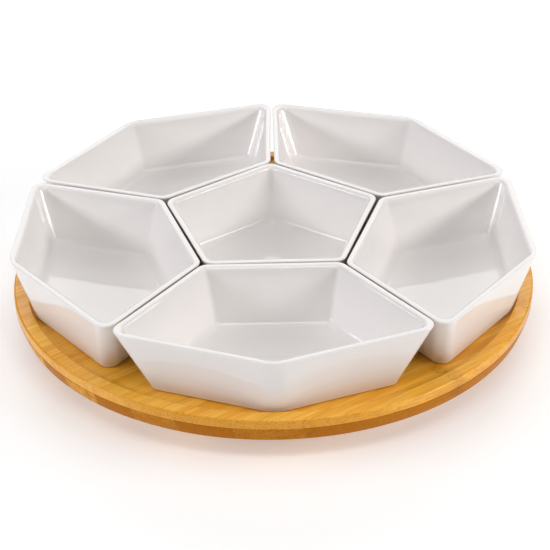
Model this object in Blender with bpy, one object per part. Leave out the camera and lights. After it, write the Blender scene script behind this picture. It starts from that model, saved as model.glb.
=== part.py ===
"""Chip and dip server.

A round bamboo tray of two glued layers turns on a ball bearing above a small bamboo base.
Five outer dishes and one centre dish stand loose in the tray's shallow recess.

Units are metres and +Z is up. The origin is on the turntable's axis, on the table top.
The point of the front dish looks along -Y.
"""

import math

import bmesh
import bpy
from mathutils import Matrix, Vector

GAP = 0.0003  # left between two pieces that touch

# Base, from the table up
FOOT_RADIUS = 0.0070
FOOT_TOP_RADIUS = 0.0078
FOOT_CIRCLE = 0.0860
BASE_UNDERSIDE = 0.0022
BASE_RADIUS = 0.1000
BASE_THICKNESS = 0.0080
BASE_EDGE = 0.0012
ACCESS_HOLE_RADIUS = 0.0050

# Ball bearing: the outer ring is screwed to the base and the inner ring to the tray
BALL_RADIUS = 0.0020
BALL_CIRCLE = 0.0595
BALL_COUNT = 12
RING_HEIGHT = 0.0072
RING_STEP = 0.0008  # the inner ring sits this much higher than the outer one
GROOVE_RADIUS = 0.0024
RACE_CLEARANCE = 0.0010  # from the ball circle to the plain wall of either ring
RING_WALL = 0.0050
FLANGE_THICKNESS = 0.0024
OUTER_FLANGE_RADIUS = 0.0760
INNER_FLANGE_RADIUS = 0.0420
CAGE_THICKNESS = 0.0010
CAGE_HEIGHT = 0.0060
POCKET_RADIUS = 0.0023

# Screws
SCREW_COUNT = 4
SCREW_HEAD_RADIUS = 0.0034
SCREW_HEAD_HEIGHT = 0.0018
SCREW_SHANK_RADIUS = 0.0016
SCREW_LENGTH = 0.0078
SCREW_TIP = 0.0020
DRIVE_SLOT_LENGTH = 0.0036
DRIVE_SLOT_WIDTH = 0.0009
DRIVE_SLOT_DEPTH = 0.0010
BASE_SCREW_CIRCLE = 0.0710
TRAY_SCREW_CIRCLE = 0.0470
SCREW_ANGLE = math.radians(45)

# Tray
TRAY_RADIUS = 0.1715
TRAY_THICKNESS = 0.0160
TRAY_SEAM = 0.0096  # height of the glue line above the underside
TRAY_BOTTOM_RADIUS = 0.1688
TRAY_EDGE = 0.0012
RECESS_RADIUS = 0.1614
RECESS_DEPTH = 0.0030
COVE_WIDTH = 0.0008

# Dishes: outlines are those of the rim
DISH_HEIGHT = 0.0436
DISH_WALL = 0.0046
DISH_FLOOR = 0.0075
RIM_ROUNDING = 0.0012
FLOOR_FILLET = 0.0040
SIDE_SLOPE = 0.0135  # how far the sides facing another dish lean in, from rim to foot
OUTER_SLOPE = 0.0122  # the same for the two outer sides
NEAR_CORNER = 0.0080  # plan radius of the corners next to the centre dish, and of its own
SIDE_CORNER = 0.0080
POINT_CORNER = 0.0200
SMALLEST_CORNER = 0.0020
FOOT_BEVEL = 0.0015
FOOT_RING_WIDTH = 0.0040
FOOT_RING_HEIGHT = 0.0012
DISH_INNER_EDGE = 0.0612  # from the tray's axis to an outer dish's inner side
DISH_INNER_HALF_WIDTH = 0.0438
DISH_SIDE_DEPTH = 0.0764
DISH_POINT_DEPTH = 0.1136
CENTRE_DISH_RADIUS = 0.0745
LAYOUT_ANGLE = math.radians(72)

# How each outer dish was set down: shift outward, shift sideways, turn in degrees
OUTER_DISHES = {
    "back_left": (0.0005, -0.0003, -0.2),
    "left": (-0.0001, -0.0004, 0.6),
    "front": (-0.0004, -0.0001, 0.6),
    "right": (0.0003, -0.0004, 0.6),
    "back_right": (0.0004, -0.0004, 0.5),
}
CENTRE_DISH_SHIFT = 0.0003
CENTRE_DISH_TURN = 1.0

# Smoothness
TRAY_STEPS = 72
BASE_STEPS = 60
RING_STEPS = 40
SMALL_STEPS = 12
CORNER_STEPS = 3

# Heights that follow from the sizes above
BASE_TOP = BASE_UNDERSIDE + BASE_THICKNESS
OUTER_RING_BOTTOM = BASE_TOP + GAP
INNER_RING_BOTTOM = OUTER_RING_BOTTOM + RING_STEP
INNER_RING_TOP = INNER_RING_BOTTOM + RING_HEIGHT
BALL_LEVEL = (OUTER_RING_BOTTOM + INNER_RING_TOP) / 2
TRAY_UNDERSIDE = INNER_RING_TOP + GAP
RECESS_LEVEL = TRAY_UNDERSIDE + TRAY_THICKNESS - RECESS_DEPTH
DISH_LEVEL = RECESS_LEVEL + GAP


def clear_scene():
    for obj in list(bpy.data.objects):
        bpy.data.objects.remove(obj, do_unlink=True)


def material(name, colour, roughness, metallic=0.0):
    made = bpy.data.materials.new(name)
    made.use_nodes = True
    shader = made.node_tree.nodes["Principled BSDF"]
    shader.inputs["Base Color"].default_value = (*colour, 1.0)
    shader.inputs["Roughness"].default_value = roughness
    shader.inputs["Metallic"].default_value = metallic
    made.diffuse_color = (*colour, 1.0)
    return made


def add_object(name, mesh, look=None, smooth_below=40):
    """An object for a mesh, shaded smooth except across edges sharper than smooth_below degrees."""
    mesh.shade_smooth()
    mesh.set_sharp_from_angle(angle=math.radians(smooth_below))
    obj = bpy.data.objects.new(name, mesh)
    bpy.context.scene.collection.objects.link(obj)
    if look and not mesh.materials:
        mesh.materials.append(look)
    return obj


def finished_mesh(name, form):
    bmesh.ops.recalc_face_normals(form, faces=form.faces)
    mesh = bpy.data.meshes.new(name)
    form.to_mesh(mesh)
    form.free()
    return mesh


def turned_mesh(name, profile, steps):
    """Turns a profile of (radius, height) points about Z.

    A profile that starts and ends on the axis makes a solid disc. Any other closes into a ring.
    """
    form = bmesh.new()
    rings = []
    for radius, height in profile:
        if radius == 0:
            rings.append([form.verts.new((0, 0, height))] * steps)
            continue
        angles = [2 * math.pi * i / steps for i in range(steps)]
        points = [(radius * math.cos(a), radius * math.sin(a), height) for a in angles]
        rings.append([form.verts.new(point) for point in points])
    on_axis = profile[0][0] == 0
    pairs = list(zip(rings, rings[1:]))
    if not on_axis:
        pairs.append((rings[-1], rings[0]))
    for low, high in pairs:
        for i in range(steps):
            j = (i + 1) % steps
            corners = [low[i], low[j], high[j], high[i]]
            form.faces.new(dict.fromkeys(corners))
    return finished_mesh(name, form)


def arc(centre, radius, start, end, steps):
    """Points along an arc from start to end, angles in degrees."""
    found = []
    for i in range(steps + 1):
        a = math.radians(start + (end - start) * i / steps)
        found.append((centre[0] + radius * math.cos(a), centre[1] + radius * math.sin(a)))
    return found


def cutter(name, mesh, location=(0, 0, 0), turn=None):
    obj = bpy.data.objects.new(name, mesh)
    bpy.context.scene.collection.objects.link(obj)
    place = Matrix.Translation(location)
    obj.matrix_world = place @ turn.to_4x4() if turn else place
    obj.hide_render = True
    obj.display_type = "WIRE"
    return obj


def cut(obj, tool):
    modifier = obj.modifiers.new(tool.name, "BOOLEAN")
    modifier.operation = "DIFFERENCE"
    modifier.solver = "EXACT"
    modifier.object = tool


def cylinder_mesh(name, radius, low, high, steps=SMALL_STEPS):
    return turned_mesh(name, [(0, low), (radius, low), (radius, high), (0, high)], steps)


def on_circle(radius, angle, height=0.0):
    return Vector((radius * math.cos(angle), radius * math.sin(angle), height))


# Base


def make_foot_pads(look):
    top = BASE_UNDERSIDE - GAP
    edge = 0.0004
    profile = [(0, 0), (FOOT_RADIUS - edge, 0), (FOOT_RADIUS, edge), (FOOT_TOP_RADIUS, top), (0, top)]
    mesh = turned_mesh("foot_pad", profile, SMALL_STEPS)
    for i in range(SCREW_COUNT):
        foot = add_object(f"foot_pad_{i + 1}", mesh, look)
        foot.location = on_circle(FOOT_CIRCLE, SCREW_ANGLE + math.tau * i / SCREW_COUNT)


def make_base(look):
    low, high, out = BASE_UNDERSIDE, BASE_TOP, BASE_RADIUS
    profile = [(0, low), (out - BASE_EDGE, low)]
    profile += [(out, low + BASE_EDGE), (out, high - BASE_EDGE)]
    profile += [(out - BASE_EDGE, high), (0, high)]
    base = add_object("turntable_base", turned_mesh("turntable_base", profile, BASE_STEPS), look)
    through = cylinder_mesh("access_hole", ACCESS_HOLE_RADIUS, low - 0.002, high + 0.002)
    cut(base, cutter("access_hole_cutter", through, on_circle(TRAY_SCREW_CIRCLE, SCREW_ANGLE)))
    depth = SCREW_LENGTH - FLANGE_THICKNESS - GAP + 2 * GAP
    pilot = cylinder_mesh("base_pilot_hole", SCREW_SHANK_RADIUS + GAP, high - depth, high + 0.002)
    for i in range(SCREW_COUNT):
        place = on_circle(BASE_SCREW_CIRCLE, SCREW_ANGLE + math.tau * i / SCREW_COUNT)
        cut(base, cutter(f"base_pilot_cutter_{i + 1}", pilot, place))


# Bearing


def groove_reach():
    """Half angle of the groove's arc, where it meets the ring's plain wall."""
    return math.degrees(math.acos(RACE_CLEARANCE / GROOVE_RADIUS))


def make_outer_ring(look):
    low, high = OUTER_RING_BOTTOM, OUTER_RING_BOTTOM + RING_HEIGHT
    wall = BALL_CIRCLE + RACE_CLEARANCE
    out = wall + RING_WALL
    reach = groove_reach()
    profile = [(wall, low), *arc((BALL_CIRCLE, BALL_LEVEL), GROOVE_RADIUS, -reach, reach, 6), (wall, high)]
    profile += [(out, high), (out, low + FLANGE_THICKNESS)]
    profile += [(OUTER_FLANGE_RADIUS, low + FLANGE_THICKNESS), (OUTER_FLANGE_RADIUS, low)]
    mesh = turned_mesh("bearing_outer_ring", profile, RING_STEPS)
    ring = add_object("bearing_outer_ring", mesh, look)
    hole = cylinder_mesh("flange_hole", SCREW_SHANK_RADIUS + GAP, low - 0.001, high)
    for i in range(SCREW_COUNT):
        place = on_circle(BASE_SCREW_CIRCLE, SCREW_ANGLE + math.tau * i / SCREW_COUNT)
        cut(ring, cutter(f"outer_flange_cutter_{i + 1}", hole, place))


def make_inner_ring(look):
    low, high = INNER_RING_BOTTOM, INNER_RING_TOP
    wall = BALL_CIRCLE - RACE_CLEARANCE
    inside = wall - RING_WALL
    reach = groove_reach()
    groove = arc((BALL_CIRCLE, BALL_LEVEL), GROOVE_RADIUS, 180 + reach, 180 - reach, 6)
    profile = [(wall, low), *groove, (wall, high), (INNER_FLANGE_RADIUS, high)]
    profile += [(INNER_FLANGE_RADIUS, high - FLANGE_THICKNESS), (inside, high - FLANGE_THICKNESS)]
    profile += [(inside, low)]
    mesh = turned_mesh("bearing_inner_ring", profile, RING_STEPS)
    ring = add_object("bearing_inner_ring", mesh, look)
    hole = cylinder_mesh("inner_flange_hole", SCREW_SHANK_RADIUS + GAP, low, high + 0.001)
    for i in range(SCREW_COUNT):
        place = on_circle(TRAY_SCREW_CIRCLE, SCREW_ANGLE + math.tau * i / SCREW_COUNT)
        cut(ring, cutter(f"inner_flange_cutter_{i + 1}", hole, place))


def make_ball_cage(look):
    half, low = CAGE_THICKNESS / 2, BALL_LEVEL - CAGE_HEIGHT / 2
    high = low + CAGE_HEIGHT
    profile = [(BALL_CIRCLE - half, low), (BALL_CIRCLE + half, low)]
    profile += [(BALL_CIRCLE + half, high), (BALL_CIRCLE - half, high)]
    cage = add_object("ball_cage", turned_mesh("ball_cage", profile, RING_STEPS), look)
    pocket = cylinder_mesh("ball_pocket", POCKET_RADIUS, -CAGE_THICKNESS * 2, CAGE_THICKNESS * 2, 12)
    for i in range(BALL_COUNT):
        angle = math.tau * i / BALL_COUNT
        along = on_circle(1, angle).to_track_quat("Z", "Y").to_matrix()
        tool = cutter(f"pocket_cutter_{i + 1:02d}", pocket, on_circle(BALL_CIRCLE, angle, BALL_LEVEL), along)
        cut(cage, tool)


def make_balls(look):
    form = bmesh.new()
    bmesh.ops.create_icosphere(form, subdivisions=2, radius=BALL_RADIUS)
    mesh = finished_mesh("bearing_ball", form)
    for i in range(BALL_COUNT):
        ball = add_object(f"bearing_ball_{i + 1:02d}", mesh, look, smooth_below=180)
        ball.location = on_circle(BALL_CIRCLE, math.tau * i / BALL_COUNT, BALL_LEVEL)


# Screws


def screw_mesh():
    """A pan-head wood screw that points down, with the underside of its head at height 0."""
    head, rise, shank = SCREW_HEAD_RADIUS, SCREW_HEAD_HEIGHT, SCREW_SHANK_RADIUS
    profile = [(0, -SCREW_LENGTH), (shank, SCREW_TIP - SCREW_LENGTH), (shank, 0), (head, 0)]
    profile += [(head, rise * 0.45), (head * 0.86, rise * 0.85), (head * 0.6, rise), (0, rise)]
    return turned_mesh("screw", profile, SMALL_STEPS)


def drive_mesh():
    """The cross recess of a screw head."""
    form = bmesh.new()
    half, arm, deep = DRIVE_SLOT_WIDTH / 2, DRIVE_SLOT_LENGTH / 2, DRIVE_SLOT_DEPTH
    outline = [(arm, -half), (arm, half), (half, half), (half, arm), (-half, arm), (-half, half)]
    outline += [(-arm, half), (-arm, -half), (-half, -half), (-half, -arm), (half, -arm), (half, -half)]
    top = SCREW_HEAD_HEIGHT
    loops = [[form.verts.new((x, y, z)) for x, y in outline] for z in (top - deep, top + deep)]
    form.faces.new(loops[0])
    form.faces.new(loops[1])
    for i in range(len(outline)):
        j = (i + 1) % len(outline)
        form.faces.new([loops[0][i], loops[0][j], loops[1][j], loops[1][i]])
    return finished_mesh("cross_recess", form)


def make_screws(name, circle, seat, head_up, look):
    """Four screws on a circle, with the underside of their heads at height seat."""
    mesh, recess = screw_mesh(), drive_mesh()
    turn = Matrix.Identity(3) if head_up else Matrix.Rotation(math.pi, 3, "X")
    for i in range(SCREW_COUNT):
        place = on_circle(circle, SCREW_ANGLE + math.tau * i / SCREW_COUNT, seat)
        own = add_object(f"{name}_{i + 1}", mesh, look)
        own.matrix_world = Matrix.Translation(place) @ turn.to_4x4()
        cut(own, cutter(f"{name}_recess_{i + 1}", recess, place, turn))


# Tray


def make_lower_layer(look):
    low = TRAY_UNDERSIDE
    seam = low + TRAY_SEAM - GAP / 2
    profile = [(0, low), (TRAY_BOTTOM_RADIUS - TRAY_EDGE, low), (TRAY_BOTTOM_RADIUS, low + TRAY_EDGE / 2)]
    profile += [(TRAY_RADIUS, seam), (0, seam)]
    layer = add_object("tray_lower_layer", turned_mesh("tray_lower_layer", profile, TRAY_STEPS), look)
    depth = SCREW_LENGTH - FLANGE_THICKNESS - GAP + 2 * GAP
    pilot = cylinder_mesh("tray_pilot_hole", SCREW_SHANK_RADIUS + GAP, low - 0.002, low + depth)
    for i in range(SCREW_COUNT):
        place = on_circle(TRAY_SCREW_CIRCLE, SCREW_ANGLE + math.tau * i / SCREW_COUNT)
        cut(layer, cutter(f"tray_pilot_cutter_{i + 1}", pilot, place))


def make_upper_layer(look):
    seam = TRAY_UNDERSIDE + TRAY_SEAM + GAP / 2
    top = TRAY_UNDERSIDE + TRAY_THICKNESS
    edge, out = TRAY_EDGE, TRAY_RADIUS
    cove = RECESS_RADIUS + COVE_WIDTH
    profile = [(0, seam), (out, seam), (out, top - edge), (out - edge * 0.3, top - edge * 0.3)]
    profile += [(out - edge, top), (cove, top)]
    profile += [(cove - COVE_WIDTH * 0.4, top - RECESS_DEPTH * 0.45)]
    profile += [(RECESS_RADIUS + COVE_WIDTH * 0.2, RECESS_LEVEL + RECESS_DEPTH * 0.15)]
    profile += [(RECESS_RADIUS, RECESS_LEVEL), (0, RECESS_LEVEL)]
    add_object("tray_upper_layer", turned_mesh("tray_upper_layer", profile, TRAY_STEPS), look)


# Dishes


def outer_outline():
    """Rim corners of an outer dish, counter-clockwise, with +X outward from the tray's axis."""
    near, half = DISH_INNER_EDGE, DISH_INNER_HALF_WIDTH
    wide = half + DISH_SIDE_DEPTH * math.tan(LAYOUT_ANGLE / 2)
    side = near + DISH_SIDE_DEPTH
    points = [(near, -half), (side, -wide), (near + DISH_POINT_DEPTH, 0), (side, wide), (near, half)]
    return [Vector(point) for point in points]


def centre_outline():
    """Rim corners of the centre dish: a regular pentagon with a corner towards the back."""
    corners = [on_circle(CENTRE_DISH_RADIUS, math.pi / 2 + LAYOUT_ANGLE * i) for i in range(5)]
    return [corner.to_2d() for corner in corners]


def moved_in(outline, insets):
    """The outline with each side moved in by its own amount. Side i runs from corner i to i + 1."""
    count = len(outline)
    lines = []
    for i, inset in enumerate(insets):
        along = (outline[(i + 1) % count] - outline[i]).normalized()
        lines.append((outline[i] + Vector((-along.y, along.x)) * inset, along))
    corners = []
    for i in range(count):
        (p, d), (q, e) = lines[i - 1], lines[i]
        reach = ((q - p).x * e.y - (q - p).y * e.x) / (d.x * e.y - d.y * e.x)
        corners.append(p + d * reach)
    return corners


def rounded(corners, radii, steps):
    """The corners replaced by arcs that touch both sides."""
    count = len(corners)
    points = []
    for i, (corner, radius) in enumerate(zip(corners, radii)):
        back = (corners[i - 1] - corner).normalized()
        ahead = (corners[(i + 1) % count] - corner).normalized()
        half = back.angle(ahead) / 2
        centre = corner + (back + ahead).normalized() * (radius / math.sin(half))
        start = corner + back * (radius / math.tan(half)) - centre
        sweep = math.pi - 2 * half
        for k in range(steps + 1):
            turn = Matrix.Rotation(sweep * k / steps, 2)
            points.append(centre + turn @ start)
    return points


def dish_levels():
    """Outline by outline from the middle of the underside, over the rim, to the middle of the floor.

    Each entry is (inset, height, tightening): the inset is added to the lean of the wall, and the
    tightening is taken off the plan radius of every corner.
    """
    lip, wall, fillet = RIM_ROUNDING, DISH_WALL, FLOOR_FILLET
    top, foot = DISH_HEIGHT, FOOT_BEVEL
    tight = wall * 0.6
    return [
        (foot + FOOT_RING_WIDTH + FOOT_RING_HEIGHT, FOOT_RING_HEIGHT, tight),
        (foot + FOOT_RING_WIDTH, 0, tight),
        (foot, 0, foot),
        (0, foot, 0),
        (0, top - lip, 0),
        (lip, top, 0),
        (wall - lip, top, tight),
        (wall, top - lip, tight),
        (wall, DISH_FLOOR + fillet, tight),
        (wall + fillet * 0.3, DISH_FLOOR + fillet * 0.3, tight),
        (wall + fillet, DISH_FLOOR, tight),
    ]


def dish_mesh(name, outline, slopes, radii):
    """A dish with sloping walls. slopes gives how far each side leans in from rim to foot."""
    form = bmesh.new()
    loops = []
    for inset, height, tightening in dish_levels():
        lean = 1 - height / DISH_HEIGHT
        corners = moved_in(outline, [slope * lean + inset for slope in slopes])
        arcs = [max(radius - tightening, SMALLEST_CORNER) for radius in radii]
        points = rounded(corners, arcs, CORNER_STEPS)
        loops.append([form.verts.new((p.x, p.y, height)) for p in points])
    for low, high in zip(loops, loops[1:]):
        for i in range(len(low)):
            j = (i + 1) % len(low)
            form.faces.new([low[i], low[j], high[j], high[i]])
    form.faces.new(loops[0])
    form.faces.new(loops[-1])
    return finished_mesh(name, form)


def make_dishes(look):
    side, out = SIDE_SLOPE, OUTER_SLOPE
    outer_corners = [NEAR_CORNER, SIDE_CORNER, POINT_CORNER, SIDE_CORNER, NEAR_CORNER]
    outer = dish_mesh("outer_dish", outer_outline(), [side, out, out, side, side], outer_corners)
    pivot = Vector((DISH_INNER_EDGE + DISH_POINT_DEPTH / 2, 0, 0))
    for i, (name, (outward, sideways, turn)) in enumerate(OUTER_DISHES.items()):
        facing = Matrix.Rotation(math.pi / 2 + LAYOUT_ANGLE * (i + 0.5), 4, "Z")
        shift = Matrix.Translation(Vector((outward, sideways, 0)) + pivot)
        own_turn = Matrix.Rotation(math.radians(turn), 4, "Z")
        dish = add_object(f"dish_{name}", outer, look)
        lift = Matrix.Translation((0, 0, DISH_LEVEL))
        dish.matrix_world = lift @ facing @ shift @ own_turn @ Matrix.Translation(-pivot)
    small = dish_mesh("centre_dish", centre_outline(), [side] * 5, [NEAR_CORNER] * 5)
    centre = add_object("dish_centre", small, look)
    centre.location = (0, CENTRE_DISH_SHIFT, DISH_LEVEL)
    centre.rotation_euler.z = math.radians(CENTRE_DISH_TURN)


def main():
    clear_scene()
    light_bamboo = material("light_bamboo", (0.72, 0.46, 0.17), 0.42)
    dark_bamboo = material("dark_bamboo", (0.56, 0.29, 0.07), 0.48)
    porcelain = material("white_porcelain", (0.86, 0.85, 0.83), 0.12)
    aluminium = material("turned_aluminium", (0.80, 0.81, 0.82), 0.35, 1.0)
    steel = material("ball_steel", (0.70, 0.71, 0.72), 0.15, 1.0)
    screw_steel = material("screw_steel", (0.62, 0.62, 0.60), 0.30, 1.0)
    nylon = material("cage_nylon", (0.82, 0.81, 0.76), 0.50)
    rubber = material("foot_rubber", (0.55, 0.55, 0.54), 0.75)
    make_foot_pads(rubber)
    make_base(dark_bamboo)
    make_outer_ring(aluminium)
    make_inner_ring(aluminium)
    make_ball_cage(nylon)
    make_balls(steel)
    outer_seat = OUTER_RING_BOTTOM + FLANGE_THICKNESS + GAP
    make_screws("base_screw", BASE_SCREW_CIRCLE, outer_seat, True, screw_steel)
    inner_seat = INNER_RING_TOP - FLANGE_THICKNESS - GAP
    make_screws("tray_screw", TRAY_SCREW_CIRCLE, inner_seat, False, screw_steel)
    make_lower_layer(dark_bamboo)
    make_upper_layer(light_bamboo)
    make_dishes(porcelain)
    bpy.context.view_layer.update()


main()
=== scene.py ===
"""Looks of the chip and dip server: bamboo turntable tray, six porcelain dishes, ball bearing.

Every piece stands where the frame's CAD node stands, in metres, with +Z up.
"""

import math

import bmesh
import bpy
from mathutils import Matrix, Vector, noise


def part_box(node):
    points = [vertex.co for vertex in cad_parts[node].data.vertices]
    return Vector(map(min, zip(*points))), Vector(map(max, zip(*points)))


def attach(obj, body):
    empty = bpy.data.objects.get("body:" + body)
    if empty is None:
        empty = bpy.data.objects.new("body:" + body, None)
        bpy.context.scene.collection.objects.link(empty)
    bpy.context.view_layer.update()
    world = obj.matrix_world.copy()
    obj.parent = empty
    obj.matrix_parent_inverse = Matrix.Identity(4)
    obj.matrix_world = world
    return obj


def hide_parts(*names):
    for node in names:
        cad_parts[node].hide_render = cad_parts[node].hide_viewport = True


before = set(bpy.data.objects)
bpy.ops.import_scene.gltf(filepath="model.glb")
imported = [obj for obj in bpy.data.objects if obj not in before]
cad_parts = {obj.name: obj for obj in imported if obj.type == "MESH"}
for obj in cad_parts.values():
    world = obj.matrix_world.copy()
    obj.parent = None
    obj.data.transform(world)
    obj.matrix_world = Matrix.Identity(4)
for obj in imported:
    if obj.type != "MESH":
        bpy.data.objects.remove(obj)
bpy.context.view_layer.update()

# Levels and radii read from the frame
BASE_LOW, BASE_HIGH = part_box("turntable_base")
LOWER_LOW, LOWER_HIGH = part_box("tray_lower_layer")
UPPER_LOW, UPPER_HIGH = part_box("tray_upper_layer")
DISH_LOW, DISH_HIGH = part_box("dish_front")
OUTER_RING_LOW, OUTER_RING_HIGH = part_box("bearing_outer_ring")
INNER_RING_LOW, INNER_RING_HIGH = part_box("bearing_inner_ring")
CAGE_LOW, CAGE_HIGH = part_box("ball_cage")
TRAY_RADIUS = UPPER_HIGH.x
BASE_RADIUS = BASE_HIGH.x
DISH_HEIGHT = DISH_HIGH.z - DISH_LOW.z

# Tray
RECESS_RADIUS = 0.1614
RECESS_DEPTH = 0.0030
RIM_INNER_RADIUS = 0.1622
TRAY_BOTTOM_RADIUS = 0.1688
TRAY_STEPS = 320

# Dishes: outlines, walls and slopes as in the CAD
DISH_WALL = 0.0046
DISH_FLOOR = 0.0075
FLOOR_FILLET = 0.0040
SIDE_SLOPE = 0.0135  # how far the sides facing another dish lean in, from rim to foot
OUTER_SLOPE = 0.0122  # the same for the two outer sides
FOOT_BEVEL = 0.0015
FOOT_RING_WIDTH = 0.0040
FOOT_RING_HEIGHT = 0.0012
DISH_INNER_EDGE = 0.0612  # from the tray's axis to an outer dish's inner side
DISH_INNER_HALF_WIDTH = 0.0438
DISH_SIDE_DEPTH = 0.0764
DISH_POINT_DEPTH = 0.1136
CENTRE_DISH_RADIUS = 0.0745
LAYOUT_ANGLE = math.radians(72)

# Dishes: the finer rounding of the glaze. Corners are plan radii, outside and then inside the lip
LIP_OUTER_RADIUS = 0.0010
LIP_INNER_RADIUS = 0.0018
NEAR_CORNER = 0.0080
SIDE_CORNER = 0.0080
POINT_CORNER = 0.0235
INNER_NEAR_CORNER = 0.0036
INNER_SIDE_CORNER = 0.0052
INNER_POINT_CORNER = 0.0065
SMALLEST_CORNER = 0.0022
SIDE_BOW = 0.00010
GLAZE_WAVE = 0.00010
GLAZE_WAVE_SCALE = 38
GLAZE_SEED = 1

# How each outer dish was set down: shift outward, shift sideways, turn in degrees
OUTER_DISHES = {
    "back_left": (0.0005, -0.0003, -0.2),
    "left": (-0.0001, -0.0004, 0.6),
    "front": (-0.0004, -0.0001, 0.6),
    "right": (0.0003, -0.0004, 0.6),
    "back_right": (0.0004, -0.0004, 0.5),
}
CENTRE_DISH_SHIFT = 0.0003
CENTRE_DISH_TURN = 1.0

# Bearing and screws
BALL_RADIUS = 0.0020
BALL_CIRCLE = 0.0595
BALL_COUNT = 12
GROOVE_RADIUS = 0.0024
RACE_CLEARANCE = 0.0010
RING_WALL = 0.0050
FLANGE_THICKNESS = 0.0024
INNER_FLANGE_RADIUS = 0.0420
CAGE_THICKNESS = 0.0010
POCKET_RADIUS = 0.0023
SCREW_COUNT = 4
SCREW_ANGLE = math.radians(45)
SCREW_HEAD_RADIUS = 0.0034
SCREW_HEAD_HEIGHT = 0.0018
SCREW_CORE_RADIUS = 0.0011
SCREW_THREAD_RADIUS = 0.0016
SCREW_LENGTH = 0.0078
SCREW_TIP = 0.0020
SCREW_PITCH = 0.0013
BASE_SCREW_CIRCLE = 0.0710
TRAY_SCREW_CIRCLE = 0.0470
ACCESS_HOLE_RADIUS = 0.0050
CROSS_DEPTH = 0.0011
GAP = 0.0003  # left between two pieces that touch
HOLE_RADIUS = SCREW_THREAD_RADIUS + GAP
HOLE_DEPTH = SCREW_LENGTH - FLANGE_THICKNESS + 2 * GAP

# Bamboo
GRAIN_ANGLE = math.radians(37)
STRIP_WIDTH = 0.0265
STRIP_SHIFT = 0.0140
NODE_SPACING = 0.2300

# Camera: where it stands, how it is turned, and its focal length on a 36 mm sensor
CAMERA_PLACE = (0.003, -0.9784, 0.6237)
CAMERA_PITCH = math.radians(31.26)
CAMERA_YAW = math.radians(0.11)
CAMERA_ROLL = math.radians(-0.86)
CAMERA_LENS = 112.3

# Stage
FLOOR_TONE = 0.74
FLOOR_GLOW = 0.32
WORLD_STRENGTH = 0.06
NEUTRAL = (1.0, 1.0, 1.0)
COOL = (0.94, 0.955, 1.0)
WARM = (1.0, 0.975, 0.955)


# Mesh tools


def new_object(name, form, *looks):
    bmesh.ops.recalc_face_normals(form, faces=form.faces)
    mesh = bpy.data.meshes.new(name)
    form.to_mesh(mesh)
    form.free()
    obj = bpy.data.objects.new(name, mesh)
    bpy.context.scene.collection.objects.link(obj)
    for look in looks:
        mesh.materials.append(look)
    mesh.shade_smooth()
    return obj


def sharpen(obj, degrees):
    obj.data.set_sharp_from_angle(angle=math.radians(degrees))


def arc(centre, radius, start, end, steps):
    """Points along an arc, with its angles in degrees."""
    found = []
    for i in range(steps + 1):
        a = math.radians(start + (end - start) * i / steps)
        found.append((centre[0] + radius * math.cos(a), centre[1] + radius * math.sin(a)))
    return found


def on_circle(radius, angle, height=0.0):
    return Vector((radius * math.cos(angle), radius * math.sin(angle), height))


def turned_form(profile, steps):
    """A profile of (radius, height) points turned about Z. It closes on the axis or into a ring."""
    form = bmesh.new()
    rings = []
    for radius, height in profile:
        if radius == 0:
            rings.append([form.verts.new((0, 0, height))] * steps)
            continue
        points = [on_circle(radius, math.tau * i / steps, height) for i in range(steps)]
        rings.append([form.verts.new(point) for point in points])
    pairs = list(zip(rings, rings[1:]))
    if profile[0][0] != 0:
        pairs.append((rings[-1], rings[0]))
    for low, high in pairs:
        for i in range(steps):
            j = (i + 1) % steps
            form.faces.new(dict.fromkeys([low[i], low[j], high[j], high[i]]))
    return form


def carve(obj, tool_form):
    """Cuts every body of tool_form out of obj, with the result applied."""
    tool = new_object("tool", tool_form)
    modifier = obj.modifiers.new("cut", "BOOLEAN")
    modifier.operation = "DIFFERENCE"
    modifier.solver = "EXACT"
    modifier.object = tool
    bpy.context.view_layer.update()
    graph = bpy.context.evaluated_depsgraph_get()
    made = bpy.data.meshes.new_from_object(obj.evaluated_get(graph))
    obj.modifiers.clear()
    obj.data = made
    bpy.data.objects.remove(tool)
    made.shade_smooth()


def join_into(form, other, place):
    """Adds a copy of another form, moved to its place."""
    mesh = bpy.data.meshes.new("copy")
    other.to_mesh(mesh)
    mesh.transform(place)
    form.from_mesh(mesh)
    bpy.data.meshes.remove(mesh)


def hole_tools(radius, low, high, circle, count, steps=40):
    """Upright cylinders, set round a circle."""
    one = turned_form([(0, low), (radius, low), (radius, high), (0, high)], steps)
    bmesh.ops.recalc_face_normals(one, faces=one.faces)
    form = bmesh.new()
    for i in range(count):
        angle = SCREW_ANGLE + math.tau * i / count
        join_into(form, one, Matrix.Translation(on_circle(circle, angle)))
    one.free()
    return form


def stands_for(obj, node, body):
    """obj replaces one CAD node and rides on its body."""
    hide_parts(node)
    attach(obj, body)


# Node tools


def new_material(name, roughness=0.5, metallic=0.0):
    look = bpy.data.materials.new(name)
    look.use_nodes = True
    shader = look.node_tree.nodes.get("Principled BSDF")
    shader.inputs["Roughness"].default_value = roughness
    shader.inputs["Metallic"].default_value = metallic
    return look, look.node_tree, shader


def add(tree, kind, settings=None, **inputs):
    """A new node. An input is a value or another node's output.

    It is given by its number, as i0, or by its name, with _ for each space.
    """
    made = tree.nodes.new(kind)
    for key, value in (settings or {}).items():
        setattr(made, key, value)
    for key, value in inputs.items():
        numbered = key[0] == "i" and key[1:].isdigit()
        socket = made.inputs[int(key[1:]) if numbered else key.replace("_", " ")]
        if isinstance(value, bpy.types.NodeSocket):
            tree.links.new(value, socket)
        else:
            socket.default_value = value
    return made


def math_node(tree, operation, *values, clamp=False):
    inputs = {f"i{k}": value for k, value in enumerate(values)}
    settings = {"operation": operation, "use_clamp": clamp}
    return add(tree, "ShaderNodeMath", settings, **inputs).outputs[0]


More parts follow.
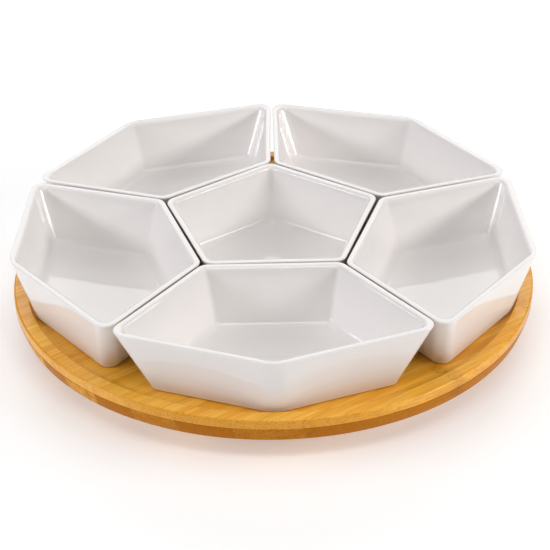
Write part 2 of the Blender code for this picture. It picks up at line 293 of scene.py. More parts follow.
def scaled(tree, vector, factors):
    settings = {"operation": "MULTIPLY"}
    return add(tree, "ShaderNodeVectorMath", settings, i0=vector, i1=factors).outputs[0]


def noise_node(tree, vector, scale, detail=2.0, roughness=0.5):
    inputs = {"Vector": vector, "Scale": scale, "Detail": detail, "Roughness": roughness}
    return add(tree, "ShaderNodeTexNoise", None, **inputs).outputs[0]


def between(tree, value, low, high, to_low=0.0, to_high=1.0):
    """value mapped smoothly from low..high to to_low..to_high, and held at the ends."""
    made = add(tree, "ShaderNodeMapRange", {"interpolation_type": "SMOOTHSTEP"}, i0=value)
    for k, number in enumerate((low, high, to_low, to_high)):
        made.inputs[k + 1].default_value = number
    return made.outputs[0]


def mixed(tree, factor, first, second, blend="MIX"):
    made = tree.nodes.new("ShaderNodeMix")
    made.data_type = "RGBA"
    made.blend_type = blend
    for k, value in ((0, factor), (6, first), (7, second)):
        socket = made.inputs[k]
        if isinstance(value, bpy.types.NodeSocket):
            tree.links.new(value, socket)
        elif socket.type == "RGBA":
            socket.default_value = (*value, 1.0)
        else:
            socket.default_value = value
    return made.outputs[2]


def bumped(tree, shader, height, distance, strength=1.0):
    made = add(tree, "ShaderNodeBump", None, Height=height, Distance=distance, Strength=strength)
    tree.links.new(made.outputs[0], shader.inputs["Normal"])


def own_place(tree):
    return tree.nodes.new("ShaderNodeTexCoord").outputs["Object"]


# Materials


def make_porcelain():
    """White glaze: a shallow orange peel, faint smudges, and a thinner, warmer film on the lip."""
    look, tree, shader = new_material("white_porcelain", 0.08)
    place = own_place(tree)
    tone = noise_node(tree, place, 22.0, 2.0)
    tone = between(tree, tone, 0.35, 0.65)
    body = mixed(tree, tone, (0.815, 0.785, 0.768), (0.835, 0.803, 0.787))
    edge = add(tree, "ShaderNodeAttribute", {"attribute_name": "edge"}).outputs["Fac"]
    body = mixed(tree, math_node(tree, "MULTIPLY", edge, 0.12), body, (0.870, 0.845, 0.822))
    tree.links.new(body, shader.inputs["Base Color"])
    smudge = noise_node(tree, place, 60.0, 4.0, 0.6)
    tree.links.new(between(tree, smudge, 0.35, 0.75, 0.025, 0.075), shader.inputs["Roughness"])
    peel = noise_node(tree, place, 420.0, 1.0)
    sag = noise_node(tree, place, 55.0, 1.0)
    height = math_node(tree, "ADD", math_node(tree, "MULTIPLY", peel, 0.08), sag)
    bumped(tree, shader, height, 0.00022, 0.6)
    shader.inputs["IOR"].default_value = 1.52
    return look


def make_bisque():
    """The unglazed foot ring."""
    look, tree, shader = new_material("bisque_foot", 0.85)
    place = own_place(tree)
    grit = noise_node(tree, place, 2600.0, 3.0, 0.7)
    body = mixed(tree, grit, (0.62, 0.585, 0.53), (0.76, 0.73, 0.68))
    tree.links.new(body, shader.inputs["Base Color"])
    bumped(tree, shader, grit, 0.00015, 0.8)
    return look


def make_bamboo(name, pale, deep, end_grain, contrast, gloss):
    """Glued bamboo strips, solid through the board: fibres, bundle dots, joints and cane nodes.

    contrast is the difference in tone between neighbouring strips, and gloss the weight of the
    oil finish.
    """
    look, tree, shader = new_material(name, 0.40)
    coordinates = tree.nodes.new("ShaderNodeTexCoord")
    place = coordinates.outputs["Object"]
    turn = add(tree, "ShaderNodeMapping", {"vector_type": "TEXTURE"}, Vector=place)
    turn.inputs["Rotation"].default_value = (0, 0, GRAIN_ANGLE)
    grain = turn.outputs[0]
    parts = add(tree, "ShaderNodeSeparateXYZ", None, Vector=grain)
    along, across = parts.outputs[0], parts.outputs[1]
    dark = tuple(channel * 0.50 for channel in deep)

    # Strips: each has its own tone, and every second one is turned over
    strip = math_node(tree, "DIVIDE", math_node(tree, "ADD", across, STRIP_SHIFT), STRIP_WIDTH)
    number = math_node(tree, "FLOOR", strip)
    dice = add(tree, "ShaderNodeTexWhiteNoise", {"noise_dimensions": "1D"}, W=number)
    other = math_node(tree, "ADD", number, 0.5)
    second_dice = add(tree, "ShaderNodeTexWhiteNoise", {"noise_dimensions": "1D"}, W=other)
    odd = math_node(tree, "ABSOLUTE", math_node(tree, "MODULO", number, 2.0))
    turned = math_node(tree, "SUBTRACT", 1.0, odd)
    side = math_node(tree, "SUBTRACT", math_node(tree, "FRACT", strip), 0.5)
    joint = between(tree, math_node(tree, "ABSOLUTE", side), 0.486, 0.4975)

    # Fibres run the length of a strip
    broad = noise_node(tree, scaled(tree, grain, (4.0, 190.0, 190.0)), 1.0, 3.0, 0.6)
    streaks = noise_node(tree, scaled(tree, grain, (9.0, 620.0, 620.0)), 1.0, 3.0, 0.62)
    fine = noise_node(tree, scaled(tree, grain, (26.0, 1700.0, 1700.0)), 1.0, 2.0, 0.6)
    tone = math_node(tree, "MULTIPLY", dice.outputs["Value"], 0.22)
    tone = math_node(tree, "ADD", tone, math_node(tree, "MULTIPLY", turned, contrast))
    tone = math_node(tree, "ADD", tone, between(tree, broad, 0.33, 0.67, 0.0, 0.48))
    tone = math_node(tree, "ADD", tone, between(tree, streaks, 0.36, 0.68, 0.0, 0.26))
    wood = mixed(tree, between(tree, tone, 0.10, 1.00), pale, deep)
    wood = mixed(tree, 1.0, wood, between(tree, fine, 0.36, 0.66, 0.86, 1.06), "MULTIPLY")
    dash = between(tree, streaks, 0.60, 0.74)
    wood = mixed(tree, math_node(tree, "MULTIPLY", dash, 0.22), wood, dark)

    # Fibre bundles: dots where a strip is cut across, hairlines where it is cut along
    place = scaled(tree, grain, (60.0, 860.0, 860.0))
    bundles = add(tree, "ShaderNodeTexVoronoi", None, Vector=place, Scale=1.0)
    dots = between(tree, bundles.outputs["Distance"], 0.22, 0.50, 1.0, 0.0)
    normal = coordinates.outputs["Normal"]
    facing = add(tree, "ShaderNodeVectorMath", {"operation": "DOT_PRODUCT"}, i0=normal)
    facing.inputs[1].default_value = (math.cos(GRAIN_ANGLE), math.sin(GRAIN_ANGLE), 0)
    cut = math_node(tree, "ABSOLUTE", facing.outputs["Value"])
    open_ends, square_on = between(tree, cut, 0.18, 0.50), between(tree, cut, 0.86, 0.97, 1.0, 0.30)
    across_cut = math_node(tree, "MULTIPLY", open_ends, square_on)
    wood = mixed(tree, math_node(tree, "MULTIPLY", across_cut, 0.80), wood, end_grain)
    dot_depth = math_node(tree, "ADD", math_node(tree, "MULTIPLY", across_cut, 0.42), 0.05)
    wood = mixed(tree, math_node(tree, "MULTIPLY", dots, dot_depth), wood, dark)

    # Nodes of the cane, at another place on each strip
    offset = math_node(tree, "MULTIPLY", second_dice.outputs["Value"], NODE_SPACING)
    wobble = noise_node(tree, scaled(tree, grain, (60.0, 260.0, 260.0)), 1.0, 2.0)
    wobble = math_node(tree, "MULTIPLY", wobble, 0.008)
    place = math_node(tree, "ADD", math_node(tree, "ADD", along, offset), wobble)
    run = math_node(tree, "FRACT", math_node(tree, "DIVIDE", place, NODE_SPACING))
    reach = math_node(tree, "ABSOLUTE", math_node(tree, "SUBTRACT", run, 0.5))
    band = between(tree, reach, 0.006, 0.030, 1.0, 0.0)
    fleck = noise_node(tree, scaled(tree, grain, (300.0, 620.0, 620.0)), 1.0, 2.0)
    fleck = math_node(tree, "MULTIPLY", between(tree, fleck, 0.40, 0.62), 0.40)
    band = math_node(tree, "MULTIPLY", band, math_node(tree, "ADD", fleck, 0.08))
    wood = mixed(tree, band, wood, dark)
    wood = mixed(tree, math_node(tree, "MULTIPLY", joint, 0.30), wood, dark)

    tree.links.new(wood, shader.inputs["Base Color"])
    tree.links.new(between(tree, streaks, 0.3, 0.7, 0.34, 0.48), shader.inputs["Roughness"])
    fibres, pores = math_node(tree, "MULTIPLY", fine, 0.5), math_node(tree, "MULTIPLY", dots, 0.4)
    height = math_node(tree, "SUBTRACT", fibres, pores)
    bumped(tree, shader, math_node(tree, "SUBTRACT", height, joint), 0.00008, 0.7)
    shader.inputs["Specular IOR Level"].default_value = 0.06 + 0.5 * gloss
    shader.inputs["Coat Weight"].default_value = gloss
    shader.inputs["Coat Roughness"].default_value = 0.16
    shader.inputs["Coat IOR"].default_value = 1.40
    return look


def make_turned_metal(name, colour, roughness):
    """Metal with fine rings left by the lathe."""
    look, tree, shader = new_material(name, roughness, 1.0)
    parts = add(tree, "ShaderNodeSeparateXYZ", None, Vector=own_place(tree))
    squares = [math_node(tree, "MULTIPLY", parts.outputs[k], parts.outputs[k]) for k in (0, 1)]
    radius = math_node(tree, "SQRT", math_node(tree, "ADD", *squares))
    place = add(tree, "ShaderNodeCombineXYZ", None, X=radius, Y=parts.outputs[2])
    rings = noise_node(tree, place.outputs[0], 5200.0, 2.0, 0.6)
    stain = noise_node(tree, own_place(tree), 70.0, 3.0, 0.6)
    body = mixed(tree, stain, tuple(c * 0.93 for c in colour), colour)
    tree.links.new(body, shader.inputs["Base Color"])
    shine = between(tree, rings, 0.3, 0.7, roughness * 0.8, roughness * 1.25)
    tree.links.new(shine, shader.inputs["Roughness"])
    bumped(tree, shader, rings, 0.00004, 0.6)
    return look


def make_plain(name, colour, roughness, metallic, grain, depth):
    """A body colour with a fine grain in its tone, its gloss and its surface."""
    look, tree, shader = new_material(name, roughness, metallic)
    place = own_place(tree)
    fine = noise_node(tree, place, grain, 3.0, 0.6)
    broad = noise_node(tree, place, grain / 14, 2.0)
    body = mixed(tree, between(tree, broad, 0.3, 0.7), tuple(c * 0.90 for c in colour), colour)
    tree.links.new(body, shader.inputs["Base Color"])
    shine = between(tree, fine, 0.3, 0.7, roughness * 0.85, roughness * 1.15)
    tree.links.new(shine, shader.inputs["Roughness"])
    bumped(tree, shader, fine, depth, 0.7)
    return look


# Dishes


def outer_outline():
    """Rim corners of an outer dish, counter-clockwise, with +X outward from the tray's axis."""
    near, half = DISH_INNER_EDGE, DISH_INNER_HALF_WIDTH
    wide = half + DISH_SIDE_DEPTH * math.tan(LAYOUT_ANGLE / 2)
    side = near + DISH_SIDE_DEPTH
    point = near + DISH_POINT_DEPTH
    corners = [(near, -half), (side, -wide), (point, 0), (side, wide), (near, half)]
    return [Vector(corner) for corner in corners]


def centre_outline():
    corners = [on_circle(CENTRE_DISH_RADIUS, math.pi / 2 + LAYOUT_ANGLE * i) for i in range(5)]
    return [corner.to_2d() for corner in corners]


def moved_in(outline, insets):
    """The outline with each side moved in by its own amount. Side i runs from corner i to i + 1."""
    count = len(outline)
    lines = []
    for i, inset in enumerate(insets):
        along = (outline[(i + 1) % count] - outline[i]).normalized()
        lines.append((outline[i] + Vector((-along.y, along.x)) * inset, along))
    corners = []
    for i in range(count):
        (p, d), (q, e) = lines[i - 1], lines[i]
        reach = ((q - p).x * e.y - (q - p).y * e.x) / (d.x * e.y - d.y * e.x)
        corners.append(p + d * reach)
    return corners


def rounded(corners, radii, steps=10, side_steps=12, bow=0.0):
    """An outline with an arc at each corner and sides that bow in by a hair.

    Points close to each arc keep the shading of the long flat sides even.
    """
    count = len(corners)
    arcs = []
    for i, (corner, radius) in enumerate(zip(corners, radii)):
        back = (corners[i - 1] - corner).normalized()
        ahead = (corners[(i + 1) % count] - corner).normalized()
        half = back.angle(ahead) / 2
        centre = corner + (back + ahead).normalized() * (radius / math.sin(half))
        start = corner + back * (radius / math.tan(half)) - centre
        turns = [(math.pi - 2 * half) * k / steps for k in range(steps + 1)]
        arcs.append([centre + Matrix.Rotation(turn, 2) @ start for turn in turns])
    points = []
    for i in range(count):
        points += arcs[i]
        start, end = arcs[i][-1], arcs[(i + 1) % count][0]
        inward = Vector((start.y - end.y, end.x - start.x)).normalized()
        for k in range(side_steps):
            t = (k + 0.5) / side_steps
            t = t * t * (3 - 2 * t)
            points.append(start.lerp(end, t) + inward * bow * math.sin(math.pi * t) ** 2)
    return points


def dish_profile():
    """From the foot's inner edge, over the rim, to the floor: (inset, height, tightening, edge).

    tightening is taken off the corners of the foot. edge is 1 on the lip, where the glaze is thin.
    """
    top, wall, fillet, foot = DISH_HEIGHT, DISH_WALL, FLOOR_FILLET, FOOT_BEVEL
    outer, inner = LIP_OUTER_RADIUS, LIP_INNER_RADIUS
    ring, sunk = FOOT_RING_WIDTH, FOOT_RING_HEIGHT
    tight = wall * 0.6
    low = DISH_FLOOR + fillet
    close = 0.0008  # from the end of an arc to the nearest level of the flat wall
    levels = [(foot + ring + 3 * sunk, sunk, tight, 0)]
    levels += [(x, z, tight, 0) for x, z in arc((foot + ring + sunk, 0), sunk, 90, 180, 4)]
    levels += [(foot + ring * k, 0, tight * k + foot * (1 - k), 0) for k in (0.9, 0.5, 0.1)]
    levels += [(x, z, foot - z, 0) for x, z in arc((foot, foot), foot, 270, 180, 6)]
    outer_wall = [foot + close, *[top * k for k in (0.15, 0.30, 0.45, 0.60, 0.75, 0.88)]]
    levels += [(0, height, 0, 0) for height in (*outer_wall, top - outer - close)]
    lip_out = arc((outer, top - outer), outer, 180, 90, 6)
    levels += [(x, z, 0, k / 6) for k, (x, z) in enumerate(lip_out)]
    levels += [(wall / 2, top, 0, 1)]
    lip_in = arc((wall - inner, top - inner), inner, 90, 0, 6)
    levels += [(x, z, 0, 1 - k / 6) for k, (x, z) in enumerate(lip_in)]
    inner_wall = [top - inner - close, *[low + (top - low) * k for k in (0.8, 0.6, 0.4, 0.2)]]
    levels += [(wall, height, 0, 0) for height in (*inner_wall, low + close)]
    levels += [(x, z, 0, 0) for x, z in arc((wall + fillet, low), fillet, 180, 270, 9)]
    levels += [(wall + fillet + 0.0012, DISH_FLOOR, 0, 0)]
    return levels


def dish_form(outline, slopes, radii, inner_radii, seed):
    """The dish's surface, with its lip marked in the edge layer and its foot ring as material 1.

    The corners go from radii to inner_radii across the lip. The glaze waves by a hair, except at
    the foot and the lip.
    """
    form = bmesh.new()
    edge_layer = form.verts.layers.float.new("edge")
    loops = []
    heights = []
    for inset, height, tightening, edge in dish_profile():
        lean = 1 - height / DISH_HEIGHT
        corners = moved_in(outline, [slope * lean + inset for slope in slopes])
        inward = min(inset / DISH_WALL, 1) if height > FOOT_BEVEL else 0
        arcs = []
        for radius, inner in zip(radii, inner_radii):
            arcs.append(max(radius + (inner - radius) * inward - tightening, SMALLEST_CORNER))
        loop = []
        for p in rounded(corners, arcs, bow=SIDE_BOW):
            made = form.verts.new((p.x, p.y, height))
            made[edge_layer] = edge
            loop.append(made)
        loops.append(loop)
        heights.append(height)
    for loop in (loops[0], loops[-1]):
        close_flat(form, loop)
    for k, (low, high) in enumerate(zip(loops, loops[1:])):
        on_foot = heights[k] == heights[k + 1] == 0
        for i in range(len(low)):
            j = (i + 1) % len(low)
            face = form.faces.new([low[i], low[j], high[j], high[i]])
            face.material_index = int(on_foot)
    for vert in form.verts:
        free = min(vert.co.z, DISH_HEIGHT - vert.co.z) / DISH_HEIGHT
        if free > 0.02:
            wave = noise.noise_vector(vert.co * GLAZE_WAVE_SCALE + Vector((seed * 9.1, 0, 0)))
            vert.co += Vector((wave.x, wave.y, wave.z * 0.5)) * GLAZE_WAVE * min(free * 8, 1)
    return form


def close_flat(form, loop):
    """Fills a flat convex loop with rings that shrink to its middle."""
    middle = sum((vert.co for vert in loop), Vector()) / len(loop)
    last = loop
    for share in (0.75, 0.45, 0.18):
        ring = [form.verts.new(middle.lerp(vert.co, share)) for vert in loop]
        for i in range(len(loop)):
            j = (i + 1) % len(loop)
            form.faces.new([last[i], last[j], ring[j], ring[i]])
        last = ring
    tip = form.verts.new(middle)
    for i in range(len(loop)):
        form.faces.new([last[i], last[(i + 1) % len(loop)], tip])


def make_dishes(glaze, bisque):
    noise.seed_set(GLAZE_SEED)  # unseeded, noise_vector takes its offsets from the clock
    side, out = SIDE_SLOPE, OUTER_SLOPE
    lift = Matrix.Translation((0, 0, DISH_LOW.z))
    pivot = Vector((DISH_INNER_EDGE + DISH_POINT_DEPTH / 2, 0, 0))
    slopes = [side, out, out, side, side]
    radii = [NEAR_CORNER, SIDE_CORNER, POINT_CORNER, SIDE_CORNER, NEAR_CORNER]
    near, beside, point = INNER_NEAR_CORNER, INNER_SIDE_CORNER, INNER_POINT_CORNER
    inner_radii = [near, beside, point, beside, near]
    for i, (name, (outward, sideways, turn)) in enumerate(OUTER_DISHES.items()):
        facing = Matrix.Rotation(math.pi / 2 + LAYOUT_ANGLE * (i + 0.5), 4, "Z")
        shift = Matrix.Translation(Vector((outward, sideways, 0)) + pivot)
        own_turn = Matrix.Rotation(math.radians(turn), 4, "Z")
        form = dish_form(outer_outline(), slopes, radii, inner_radii, i + 1)
        form.transform(lift @ facing @ shift @ own_turn @ Matrix.Translation(-pivot))
        dish = new_object(f"porcelain_dish_{name}", form, glaze, bisque)
        stands_for(dish, f"dish_{name}", f"dish_{name}")
    form = dish_form(centre_outline(), [side] * 5, [NEAR_CORNER] * 5, [near] * 5, 7)
    turn = Matrix.Rotation(math.radians(CENTRE_DISH_TURN), 4, "Z")
    form.transform(Matrix.Translation((0, CENTRE_DISH_SHIFT, 0)) @ lift @ turn)
    dish = new_object("porcelain_dish_centre", form, glaze, bisque)
    stands_for(dish, "dish_centre", "dish_centre")


# Tray


def make_tray(upper_look, lower_look):
    ease = 0.00035  # rounding of the edges at the glue line
    seam_low, seam_high = LOWER_HIGH.z + 0.0001, UPPER_LOW.z - 0.0001
    top, out, edge = UPPER_HIGH.z, TRAY_RADIUS, 0.0017
    floor = top - RECESS_DEPTH
    rim_round, cove = 0.0008, 0.0011
    profile = [(0, seam_high), (0.08, seam_high), (out - 0.004, seam_high)]
    profile += arc((out - ease, seam_high + ease), ease, -90, 0, 4)
    profile += [(out, seam_high + 2 * ease), (out, top - edge - ease)]
    profile += arc((out - edge, top - edge), edge, 0, 90, 8)
    profile += [(out - edge - ease, top), (RIM_INNER_RADIUS + 2 * rim_round, top)]
    profile += arc((RIM_INNER_RADIUS + rim_round, top - rim_round), rim_round, 90, 165, 6)
    profile += arc((RECESS_RADIUS - cove * 0.6, floor + cove), cove, -15, -90, 6)
    profile += [(RECESS_RADIUS - 3 * cove, floor), (0.12, floor), (0.06, floor), (0, floor)]
    upper = new_object("bamboo_tray_upper", turned_form(profile, TRAY_STEPS), upper_look)
    sharpen(upper, 60)
    stands_for(upper, "tray_upper_layer", "tray")

    low, foot = LOWER_LOW.z, TRAY_BOTTOM_RADIUS
    slope = math.degrees(math.atan2(seam_low - low, out - foot))
    turn = 90 - slope
    bottom_round = 0.0006
    profile = [(0, low), (0.08, low), (foot - 3 * bottom_round, low)]
    profile += arc((foot - bottom_round * 1.2, low + bottom_round), bottom_round, -90, -turn, 6)
    profile += [(out - (out - foot) * 0.5, low + (seam_low - low) * 0.5)]
    profile += arc((out - ease * 1.1, seam_low - ease), ease, -turn, 90, 5)
    profile += [(out - 0.004, seam_low), (0.08, seam_low), (0, seam_low)]
    lower = new_object("bamboo_tray_lower", turned_form(profile, TRAY_STEPS), lower_look)
    holes = hole_tools(HOLE_RADIUS, low - 0.002, low + HOLE_DEPTH, TRAY_SCREW_CIRCLE, SCREW_COUNT)
    carve(lower, holes)
    sharpen(lower, 60)
    stands_for(lower, "tray_lower_layer", "tray")


# Turntable


def make_base(look):
    low, high, out, edge = BASE_LOW.z, BASE_HIGH.z, BASE_RADIUS, 0.0018
    profile = [(0, low), (out - 4 * edge, low), *arc((out - edge, low + edge), edge, -90, 0, 8)]
    profile += [*arc((out - edge, high - edge), edge, 0, 90, 8), (out - 4 * edge, high), (0, high)]
    base = new_object("bamboo_base", turned_form(profile, 240), look)
    carve(base, hole_tools(ACCESS_HOLE_RADIUS, low - 0.002, high + 0.002, TRAY_SCREW_CIRCLE, 1, 64))
    holes = hole_tools(HOLE_RADIUS, high - HOLE_DEPTH, high + 0.002, BASE_SCREW_CIRCLE, SCREW_COUNT)
    carve(base, holes)
    sharpen(base, 50)
    stands_for(base, "turntable_base", "base")


def make_feet(look):
    for i in range(SCREW_COUNT):
        node = f"foot_pad_{i + 1}"
        low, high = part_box(node)
        out = (high.x - low.x) / 2
        edge, top_edge = 0.0005, 0.0002
        profile = [(0, low.z), (out * 0.5, low.z)]
        profile += arc((out * 0.88, low.z + edge), edge, -90, -20, 5)
        profile += [(out, high.z - top_edge), (out - top_edge, high.z)]
        profile += [(out * 0.5, high.z), (0, high.z)]
        form = turned_form(profile, 64)
        form.transform(Matrix.Translation(((low.x + high.x) / 2, (low.y + high.y) / 2, 0)))
        foot = new_object(f"rubber_foot_{i + 1}", form, look)
        sharpen(foot, 50)
        stands_for(foot, node, "base")


def softened(corners, radius):
    """A closed (radius, height) outline with every corner cut by a small arc of three points."""
    points = []
    count = len(corners)
    for i, corner in enumerate(corners):
        here = Vector(corner)
        back = (Vector(corners[i - 1]) - here).normalized()
        ahead = (Vector(corners[(i + 1) % count]) - here).normalized()
        if back.angle(ahead) > math.radians(150):
            points.append(tuple(here))
            continue
        start, end = here + back * radius, here + ahead * radius
        middle = (start + end) / 2
        points += [tuple(start), tuple(middle.lerp(here, 0.42)), tuple(end)]
    return points


def make_rings(look):
    level = (CAGE_LOW.z + CAGE_HIGH.z) / 2
    reach = math.degrees(math.acos(RACE_CLEARANCE / GROOVE_RADIUS))
    soft = 0.00022

    low, high = OUTER_RING_LOW.z, OUTER_RING_HIGH.z
    wall, flange = BALL_CIRCLE + RACE_CLEARANCE, OUTER_RING_HIGH.x
    groove = arc((BALL_CIRCLE, level), GROOVE_RADIUS, -reach, reach, 14)
    corners = [(wall, low), *groove, (wall, high), (wall + RING_WALL, high)]
    step = low + FLANGE_THICKNESS
    corners += [(wall + RING_WALL, step), (flange, step), (flange, low)]
    ring = new_object("aluminium_outer_ring", turned_form(softened(corners, soft), 180), look)
    carve(ring, hole_tools(HOLE_RADIUS, low - 0.001, high, BASE_SCREW_CIRCLE, SCREW_COUNT))
    sharpen(ring, 50)
    stands_for(ring, "bearing_outer_ring", "base")

    low, high = INNER_RING_LOW.z, INNER_RING_HIGH.z
    wall, flange = BALL_CIRCLE - RACE_CLEARANCE, INNER_FLANGE_RADIUS
    groove = arc((BALL_CIRCLE, level), GROOVE_RADIUS, 180 + reach, 180 - reach, 14)
    step = high - FLANGE_THICKNESS
    corners = [(wall, low), *groove, (wall, high), (flange, high), (flange, step)]
    corners += [(wall - RING_WALL, step), (wall - RING_WALL, low)]
    ring = new_object("aluminium_inner_ring", turned_form(softened(corners, soft), 180), look)
    carve(ring, hole_tools(HOLE_RADIUS, low, high + 0.001, TRAY_SCREW_CIRCLE, SCREW_COUNT))
    sharpen(ring, 50)
    stands_for(ring, "bearing_inner_ring", "tray")


def make_cage(look):
    half, low, high = CAGE_THICKNESS / 2, CAGE_LOW.z, CAGE_HIGH.z
    corners = [(BALL_CIRCLE - half, low), (BALL_CIRCLE + half, low)]
    corners += [(BALL_CIRCLE + half, high), (BALL_CIRCLE - half, high)]
    cage = new_object("nylon_ball_cage", turned_form(softened(corners, 0.0002), 180), look)
    deep = CAGE_THICKNESS * 2
    one = turned_form([(0, -deep), (POCKET_RADIUS, -deep), (POCKET_RADIUS, deep), (0, deep)], 32)
    bmesh.ops.recalc_face_normals(one, faces=one.faces)
    tools = bmesh.new()
    for i in range(BALL_COUNT):
        angle = math.tau * i / BALL_COUNT
        place = Matrix.Translation(on_circle(BALL_CIRCLE, angle, (low + high) / 2))
        facing = on_circle(1, angle).to_track_quat("Z", "Y").to_matrix().to_4x4()
        join_into(tools, one, place @ facing)
    one.free()
    carve(cage, tools)
    sharpen(cage, 50)
    stands_for(cage, "ball_cage", "ball_cage")


def make_balls(look):
    for i in range(BALL_COUNT):
        node = f"bearing_ball_{i + 1:02d}"
        place = on_circle(BALL_CIRCLE, math.tau * i / BALL_COUNT, (CAGE_LOW.z + CAGE_HIGH.z) / 2)
        form = bmesh.new()
        bmesh.ops.create_uvsphere(form, u_segments=32, v_segments=20, radius=BALL_RADIUS)
        form.transform(Matrix.Translation(place))
        ball = new_object(f"steel_ball_{i + 1:02d}", form, look)
        stands_for(ball, node, "ball_cage")


def screw_form():
    """A pan-head screw that points down, with the underside of its head at height 0.

    The thread is a ridge whose height follows the turn and the depth along the shank.
    """
    form = bmesh.new()
    steps, rows = 32, 60
    thread_height = SCREW_THREAD_RADIUS - SCREW_CORE_RADIUS
    thread_sharpness = 3.2
    blunt_tip = 0.04
    rings = []
    for k in range(rows + 1):
        depth = SCREW_LENGTH * k / rows
        taper = min(1.0, (SCREW_LENGTH - depth) / SCREW_TIP)
        run_in = min(1.0, depth / SCREW_PITCH)
        ring = []
        for i in range(steps):
            phase = (depth / SCREW_PITCH - i / steps) % 1.0
            ridge = max(0.0, 1 - abs(phase - 0.5) * thread_sharpness) * run_in
            radius = (SCREW_CORE_RADIUS + thread_height * ridge) * max(taper, blunt_tip)
            ring.append(form.verts.new(on_circle(radius, math.tau * i / steps, -depth)))
        rings.append(ring)
    rings.reverse()
    out, rise = SCREW_HEAD_RADIUS, SCREW_HEAD_HEIGHT
    head = [(out - 0.0002, 0), (out, 0.0002), (out, rise * 0.4), (out * 0.95, rise * 0.66)]
    head += [(out * 0.82, rise * 0.86), (out * 0.6, rise * 0.97), (out * 0.35, rise)]
    for radius, height in head:
        points = [on_circle(radius, math.tau * i / steps, height) for i in range(steps)]
        rings.append([form.verts.new(point) for point in points])
    for low, high in zip(rings, rings[1:]):
        for i in range(steps):
            j = (i + 1) % steps
            form.faces.new([low[i], low[j], high[j], high[i]])
    form.faces.new(rings[0])
    form.faces.new(rings[-1])
    return form


def cross_form():
    """The driver's cross, which narrows towards its bottom."""
    form = bmesh.new()
    loops = []
    bottom = (SCREW_HEAD_HEIGHT - CROSS_DEPTH, 0.0011, 0.00028)
    above_head = (SCREW_HEAD_HEIGHT + 0.001, 0.0023, 0.0005)
    for height, arm, half in (bottom, above_head):
        quarter = [Vector(p) for p in ((arm, -half), (arm, half), (half, half))]
        turns = [Matrix.Rotation(math.pi / 2 * k, 2) for k in range(4)]
        outline = [turn @ p for turn in turns for p in quarter]
        loops.append([form.verts.new((*p, height)) for p in outline])
    form.faces.new(loops[0])
    form.faces.new(loops[1])
    for i in range(len(loops[0])):
        j = (i + 1) % len(loops[0])
        form.faces.new([loops[0][i], loops[0][j], loops[1][j], loops[1][i]])
    return form


def make_screws(look):
    pattern = new_object("screw_pattern", screw_form(), look)
    carve(pattern, cross_form())
    sharpen(pattern, 45)
    kinds = (("base_screw", "base", BASE_SCREW_CIRCLE), ("tray_screw", "tray", TRAY_SCREW_CIRCLE))
    for kind, body, circle in kinds:
        for i in range(SCREW_COUNT):
            node = f"{kind}_{i + 1}"
            low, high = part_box(node)
            angle = SCREW_ANGLE + math.tau * i / SCREW_COUNT
            if kind == "base_screw":
                place = Matrix.Translation(on_circle(circle, angle, high.z - SCREW_HEAD_HEIGHT))
            else:
                place = Matrix.Translation(on_circle(circle, angle, low.z + SCREW_HEAD_HEIGHT))
                place = place @ Matrix.Rotation(math.pi, 4, "X")
            mesh = pattern.data.copy()
            mesh.transform(place @ Matrix.Rotation(0.5 + i, 4, "Z"))
            screw = bpy.data.objects.new(f"zinc_{node}", mesh)
            bpy.context.scene.collection.objects.link(screw)
            stands_for(screw, node, body)
    bpy.data.objects.remove(pattern)


# Stage


def make_floor():
    look, _, shader = new_material("pale_floor", 0.6)
    shader.inputs["Base Color"].default_value = (FLOOR_TONE, FLOOR_TONE, FLOOR_TONE, 1)
    shader.inputs["Emission Color"].default_value = (1, 1, 1, 1)
    shader.inputs["Emission Strength"].default_value = FLOOR_GLOW
    form = bmesh.new()
    bmesh.ops.create_grid(form, x_segments=2, y_segments=2, size=12)
    floor = new_object("floor", form, look)


def make_light(name, place, target, size, power, colour=NEUTRAL):
    """A rectangular soft box that faces target."""
    light = bpy.data.lights.new(name, "AREA")
    light.shape = "RECTANGLE"
    light.size, light.size_y = size
    light.energy = power
    light.color = colour
    lamp = bpy.data.objects.new(name, light)
    bpy.context.scene.collection.objects.link(lamp)
    lamp.location = place
    lamp.rotation_euler = (Vector(target) - Vector(place)).to_track_quat("-Z", "Y").to_euler()


def make_lights():
    world = bpy.data.worlds.new("studio")
    bpy.context.scene.world = world
    world.use_nodes = True
    background = world.node_tree.nodes["Background"]
    background.inputs["Color"].default_value = (1, 1, 1, 1)
    background.inputs["Strength"].default_value = WORLD_STRENGTH
    middle = (0, 0, 0.05)
    make_light("top_box", (0, -0.10, 1.80), (0, 0, 0), (1.8, 1.4), 7.0)
    make_light("high_front_box", (0, -0.95, 1.55), middle, (1.4, 0.35), 9.5)
    make_light("back_box", (0, 1.35, 1.05), middle, (2.0, 0.9), 12.0)
    make_light("left_box", (-1.55, -0.45, 0.66), middle, (1.2, 0.30), 13.0, COOL)
    make_light("right_box", (1.55, -0.45, 0.66), middle, (1.2, 0.30), 15.5, WARM)


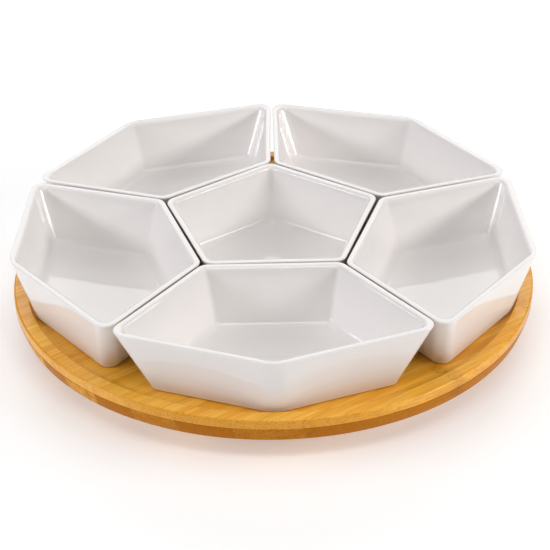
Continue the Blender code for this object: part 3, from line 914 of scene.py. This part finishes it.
def make_camera():
    data = bpy.data.cameras.new("camera")
    data.sensor_width = 36
    data.lens = CAMERA_LENS
    data.clip_start = 0.05
    camera = bpy.data.objects.new("camera", data)
    bpy.context.scene.collection.objects.link(camera)
    yaw = Matrix.Rotation(CAMERA_YAW, 4, "Z")
    tilt = Matrix.Rotation(math.pi / 2 - CAMERA_PITCH, 4, "X")
    roll = Matrix.Rotation(CAMERA_ROLL, 4, "Z")
    camera.matrix_world = Matrix.Translation(CAMERA_PLACE) @ yaw @ tilt @ roll
    bpy.context.scene.camera = camera


def main():
    bpy.context.scene.view_settings.view_transform = "Standard"
    light = make_bamboo(
        "light_bamboo", pale=(0.93, 0.490, 0.058), deep=(0.80, 0.335, 0.014),
        end_grain=(0.72, 0.300, 0.010), contrast=0.14, gloss=0.45,
    )
    dark = make_bamboo(
        "dark_bamboo", pale=(0.92, 0.48, 0.065), deep=(0.50, 0.175, 0.006),
        end_grain=(0.47, 0.150, 0.003), contrast=0.80, gloss=0.0,
    )
    base = make_bamboo(
        "base_bamboo", pale=(0.90, 0.50, 0.080), deep=(0.74, 0.35, 0.030),
        end_grain=(0.62, 0.28, 0.020), contrast=0.20, gloss=0.0,
    )
    aluminium = make_turned_metal("turned_aluminium", (0.80, 0.81, 0.82), roughness=0.32)
    nylon = make_plain(
        "cage_nylon", (0.84, 0.82, 0.76), roughness=0.48, metallic=0.0, grain=2500.0, depth=0.00005
    )
    ball_steel = make_plain(
        "ball_steel", (0.66, 0.66, 0.67), roughness=0.12, metallic=1.0, grain=4000.0, depth=0.000005
    )
    screw_steel = make_plain(
        "screw_steel", (0.66, 0.66, 0.62), roughness=0.30, metallic=1.0, grain=3000.0, depth=0.00002
    )
    rubber = make_plain(
        "foot_rubber", (0.42, 0.42, 0.41), roughness=0.70, metallic=0.0, grain=2200.0, depth=0.00006
    )
    make_dishes(make_porcelain(), make_bisque())
    make_tray(light, dark)
    make_base(base)
    make_rings(aluminium)
    make_cage(nylon)
    make_balls(ball_steel)
    make_screws(screw_steel)
    make_feet(rubber)
    make_floor()
    make_lights()
    make_camera()


main()
